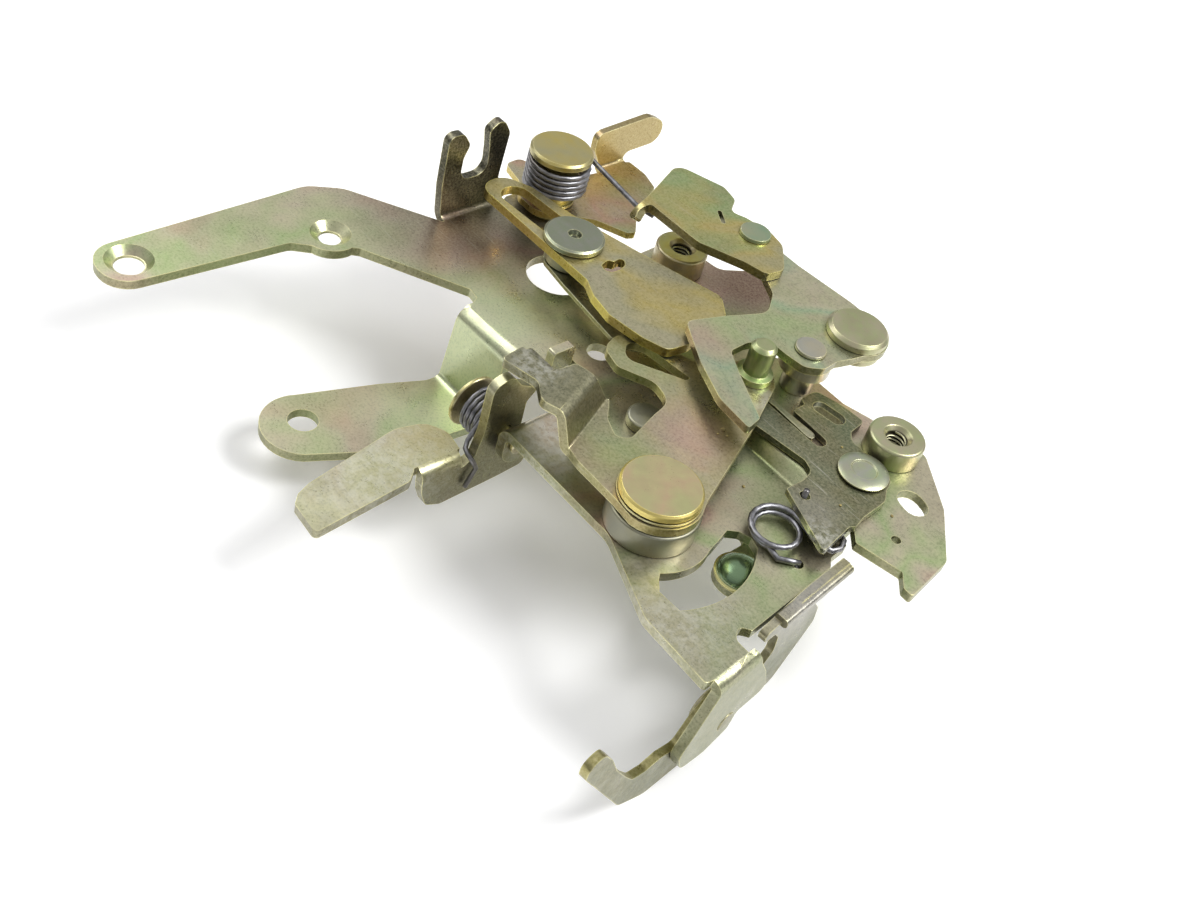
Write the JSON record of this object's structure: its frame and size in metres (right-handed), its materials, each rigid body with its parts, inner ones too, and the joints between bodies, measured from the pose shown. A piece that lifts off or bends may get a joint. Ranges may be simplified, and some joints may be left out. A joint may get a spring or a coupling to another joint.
{
  "type": "door latch",
  "caption": "Folded sheet base plate with release lever, claw lever, lock lever and link, hook lever, paddle, springs and threaded bosses.",
  "frame": {"origin": "on the foot's flat mounting face, near the middle of the foot", "axes": "-Z is the outward normal of the foot's mounting face, +X runs along the base plate's bend lines towards the flange and hook, +Y runs towards the threaded bosses"},
  "size_m": [0.1854, 0.1655, 0.0596],
  "materials": {
    "zinc_olive": "olive zinc passivate, worn and speckled",
    "zinc_gold": "golden zinc passivate with pink and green patches",
    "zinc_green": "green zinc passivate, scratched",
    "zinc_bright": "thin pale zinc passivate",
    "plain_steel": "grey turned steel",
    "spring_wire": "dark oiled spring wire"
  },
  "bodies": {
    "base": {"base_plate": "zinc_olive", "right_boss": "zinc_bright", "back_boss": "zinc_bright", "pivot_bushing": "plain_steel", "claw_post": "zinc_bright", "lock_pivot": "zinc_green", "finger_post": "zinc_gold", "paddle_pin": "zinc_bright", "hook_rivet": "zinc_bright", "stop_rivet": "zinc_bright", "toggle_spring": "spring_wire", "finger_spring": "spring_wire", "paddle_spring": "spring_wire"},
    "release": {"main_pivot": "zinc_gold", "pivot_washer": "zinc_gold", "release_lever": "zinc_gold", "release_pin": "zinc_bright", "under_lever": "zinc_olive", "dome_stud": "zinc_green"},
    "claw": {"claw_lever": "zinc_green", "claw_stud": "zinc_bright", "finger_plate": "zinc_olive", "finger_plate_rivet": "zinc_bright"},
    "lock": {"lock_lever": "zinc_green"},
    "link": {"lock_link": "zinc_green", "slide_stud": "zinc_bright", "slide_spacer": "zinc_bright"},
    "slotted": {"slotted_link": "zinc_gold"},
    "finger": {"finger_lever": "zinc_gold"},
    "paddle": {"paddle_lever": "zinc_bright"},
    "hook": {"hook_lever": "zinc_olive"}
  },
  "joints": [
    {"name": "paddle_lift", "type": "hinge", "parent": "base", "child": "paddle", "pos_m": [0.0315, 0.0135, 0.019], "axis": [1, 0, 0], "range_deg": [-24, 0], "stiffness_Nm_per_rad": 0.02, "springref_deg": 17.19, "deforming": ["paddle_spring"]},
    {"name": "release_turn", "type": "hinge", "parent": "base", "child": "release", "pos_m": [0.0765, 0.02, 0.032], "axis": [0, 0, 1], "range_deg": [-8, 0]},
    {"name": "claw_turn", "type": "hinge", "parent": "base", "child": "claw", "pos_m": [0.0635, 0.083, 0.0385], "axis": [0, 0, 1], "range_deg": [-7, 0]},
    {"name": "lock_turn", "type": "hinge", "parent": "base", "child": "lock", "pos_m": [0.0948, 0.0723, 0.0293], "axis": [0, 0, 1], "range_deg": [0, 5], "deforming": ["toggle_spring"]},
    {"name": "link_turn", "type": "hinge", "parent": "base", "child": "link", "pos_m": [0.0005, 0.0602, 0.0293], "axis": [0, 0, 1], "range_deg": [-1.15, 0]},
    {"name": "slotted_slide", "type": "slide", "parent": "base", "child": "slotted", "axis": [0.9967, 0.0815, 0], "range_m": [0, 0.007]},
    {"name": "finger_turn", "type": "hinge", "parent": "base", "child": "finger", "pos_m": [-0.0249, 0.0764, 0.0271], "axis": [0, 0, 1], "range_deg": [-6, 10], "deforming": ["finger_spring"]},
    {"name": "hook_turn", "type": "hinge", "parent": "base", "child": "hook", "pos_m": [0.11745, 0.01195, 0.004], "axis": [0.9954, 0.0958, 0], "range_deg": [-8, 0]}
  ],
  "couplings": [
    {"joint": "release_turn", "follows": "paddle_lift", "ratio": 0.33333},
    {"joint": "link_turn", "follows": "lock_turn", "ratio": -0.229}
  ]
}
